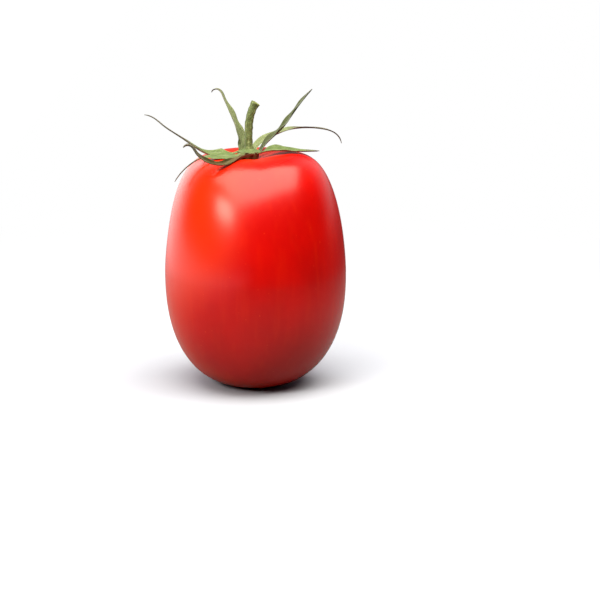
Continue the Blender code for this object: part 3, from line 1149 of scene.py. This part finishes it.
# The last colour shares of each blade paint light and shade: a paler lit look, brown shade and dark olive
# shade.
SEPALS = (
    Sepal(
        "sepal_right", length=0.0196, width=0.0054, taper=1.1,
        headings=(-4, 19, 16, 15),
        pitches=(24, -8, -2, 0),
        rolls=(14, 10, 6, 0),
        dry_from=0.85, widest_at=0.36, wave=0.0001,
    ),
    Sepal(
        "sepal_right_rising", length=0.0260, width=0.0038, taper=0.65,
        headings=(23, 18, 20, 16, 16),
        pitches=(56, 38, 52, 51, 45),
        rolls=(0, 0, 0, 0, 0),
        dry_from=0.95, painted_shade_olive=0.95,
    ),
    Sepal(
        "sepal_right_arching", length=0.0353, width=0.0036, taper=2.2,
        headings=(58, 36, 25, 16, 12, 8, 12),
        pitches=(30, 22, 18, 5, -5, -21, -80),
        rolls=(0, 10, 12, 0, 0, 0, 0),
        dry_from=0.5, painted_lit_pallor=0.5, widest_at=0.28,
    ),
    Sepal(
        "sepal_left_rising", length=0.0238, width=0.0041, taper=1.1,
        headings=(60, 148, 165, 163, 163, 168, 166),
        pitches=(72, 75, 68, 65, 62, 56, -72),
        rolls=(0, -6, -10, -8, -4, 0, 0),
        dry_from=0.88, painted_lit_pallor=0.6, widest_at=0.3,
    ),
    Sepal(
        "sepal_left_long", length=0.0330, width=0.0074, taper=3.6,
        headings=(194, 184, 184, 181, 180, 179, 174, 178),
        pitches=(-17, -6, 21, 36, 34, 33, 39, 6),
        rolls=(-8, -8, -8, 0, 0, 0, 0, 0),
        dry_from=0.45, widest_at=0.14, wave=0.0002,
    ),
    Sepal(
        "sepal_left_drooping", length=0.0252, width=0.0084, taper=4.5,
        headings=(221, 205, 192, 181, 180, 180),
        pitches=(-19, -1, 7, -28, -44, -61),
        rolls=(-6, -22, -18, 0, 0, 0),
        dry_from=0.6, widest_at=0.2, keel=0.05, wave=0.0002,
    ),
    Sepal(
        "sepal_front_curled", length=0.0284, width=0.0023, taper=0.9,
        headings=(250, 226, 228, 222, 209, 196, 186, 181, 180),
        pitches=(-8, -11, -8, -6, 3, 22, 40, 55, -54),
        rolls=(22, 10, -6, -24, -40, -40, -30, -20, 0),
        dry_from=0.8, shade=0.9, painted_shade_olive=0.25, keel=0.5,
    ),
)


# ---------------------------------------------------------------------------------------------- studio


def look_along(towards: Array) -> Point:
    """The Euler turn that points an object's -Z along a vector, with its +Y kept up."""
    flat = math.hypot(towards[0], towards[1])
    return (math.atan2(flat, -towards[2]), 0.0, math.atan2(-towards[0], towards[1]))


@dataclass(frozen=True)
class Softbox:
    """A rectangular light that points at the tomato."""

    name: str
    place: Point
    size: tuple[float, float]
    radiance: float
    aim: Point = (0.0, 0.0, 0.05)
    colour: Colour = (1.0, 0.92, 0.76)

    def build(self) -> None:
        """Adds the light. Its power is radiance times pi times its area."""
        light = bpy.data.lights.new(self.name, "AREA")
        light.shape = "RECTANGLE"
        light.color = self.colour
        light.size, light.size_y = self.size
        light.energy = self.radiance * math.pi * self.size[0] * self.size[1]
        made = bpy.data.objects.new(self.name, light)
        made.location = self.place
        made.rotation_euler = look_along(np.subtract(self.aim, self.place))
        bpy.context.scene.collection.objects.link(made)


@dataclass(frozen=True)
class Studio:
    """A white sweep under soft light, and the camera.

    The room's brightness changes with the direction looked in: over rise along Y it comes up from before
    to 1, over cross along X it goes from left to right, and within dip of straight behind it falls to
    strip.
    """

    aim: Point = (0.0144, 0.0, 0.0271)
    distance: float = 0.7
    elevation: float = math.radians(13)
    field: float = 0.1933
    sensor: float = 0.036
    floor_half: float = 6.0
    floor_gap: float = 0.00005
    floor_shown: Colour = (0.40, 0.435, 0.53)
    floor_dim: Colour = (0.20, 0.205, 0.22)
    floor_left: float = 1.9
    floor_right: float = 0.06
    clear_from: float = 0.05
    clear_to: float = 0.28
    rise: tuple[float, float] = (0.2, 0.75)
    before: float = 0.01
    cross: tuple[float, float] = (-0.3, 0.3)
    left: float = 2.8
    right: float = 0.8
    dip: tuple[float, float] = (0.1, 0.42)
    strip: float = 0.12
    lights: tuple[Softbox, ...] = (
        Softbox("overhead", place=(0.1, -0.24, 1.02), size=(1.5, 1.0), radiance=9.0),
        Softbox("window", place=(-0.58, -0.66, 0.60), size=(0.36, 0.26), radiance=23.0),
    )

    def camera(self) -> None:
        """Adds the camera, on the -Y side, with the field's width fitted at its aim."""
        data = bpy.data.cameras.new("camera")
        data.sensor_width = self.sensor * 1000
        data.lens = self.sensor * 1000 * self.distance / self.field
        made = bpy.data.objects.new("camera", data)
        back = np.array([0.0, -math.cos(self.elevation), math.sin(self.elevation)])
        made.location = self.aim + self.distance * back
        made.rotation_euler = (0.5 * math.pi - self.elevation, 0.0, 0.0)
        bpy.context.scene.collection.objects.link(made)
        bpy.context.scene.camera = made

    def floor(self) -> None:
        """Adds the pale floor, which clears to plain white further out.

        In reflections it is dimmer: near the tomato it takes a darker colour, and further out its white
        fades from the left to the right.
        """
        mesh = bpy.data.meshes.new("floor")
        outline = ((-1, -1), (1, -1), (1, 1), (-1, 1))
        corners = [(x * self.floor_half, y * self.floor_half, -self.floor_gap) for x, y in outline]
        mesh.from_pydata(corners, [], [(0, 1, 2, 3)])
        made = bpy.data.objects.new("floor", mesh)
        bpy.context.scene.collection.objects.link(made)

        tree = Tree.material("pale_floor")
        away = tree.add("ShaderNodeVectorMath", {0: tree.place}, operation="LENGTH").outputs["Value"]
        clear = tree.between(away, self.clear_from, self.clear_to)
        near = tree.blend(tree.seen(), self.floor_dim, self.floor_shown)
        glow = tree.between(tree.axis("X"), -self.clear_to, 0.0, self.floor_left, self.floor_right)
        given = {
            "Base Color": tree.blend(clear, near, (0.0, 0.0, 0.0)),
            "Emission Color": WHITE,
            "Emission Strength": tree.apply("MULTIPLY", clear, tree.apply("MAXIMUM", glow, tree.seen())),
            "Roughness": 1.0,
            "Specular IOR Level": 0.0,
        }
        mesh.materials.append(tree.shade(given))

    def surround(self) -> None:
        """Lights the room: bright behind the tomato, dimmer before it, and white where it shows.

        The brightness in a direction is a rise from front to back, times a fall from left to right, times
        a dip straight behind.
        """
        tree = Tree.world("studio")
        bpy.context.scene.world = tree.owner
        x, y = tree.axis("X"), tree.axis("Y")
        rise = tree.between(y, *self.rise, self.before, 1.0)
        cross = tree.between(x, *self.cross, self.left, self.right)
        dip = tree.between(tree.apply("ABSOLUTE", x), *self.dip, self.strip, 1.0)
        lit = tree.apply("MULTIPLY", tree.apply("MULTIPLY", rise, cross), dip)
        tree.shade({"Strength": tree.apply("MAXIMUM", tree.seen(), lit), "Color": WHITE})

    def build(self) -> None:
        """Sets the stage, with plain display colours."""
        self.floor()
        self.surround()
        for light in self.lights:
            light.build()
        self.camera()
        bpy.context.scene.view_settings.view_transform = "Standard"


def main() -> None:
    logging.basicConfig(level=logging.INFO, format="%(name)s: %(message)s")
    Studio().build()
    fruit = Fruit.fitted(*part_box("fruit"))
    base = CalyxBase(fruit, *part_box("calyx_base"))
    fruit.build(SkinFinish())
    base.build(LeafFinish())
    Stem(base).build(StemFinish())
    Calyx(base, SEPALS).build(LeafFinish())


if __name__ == "__main__":
    main()
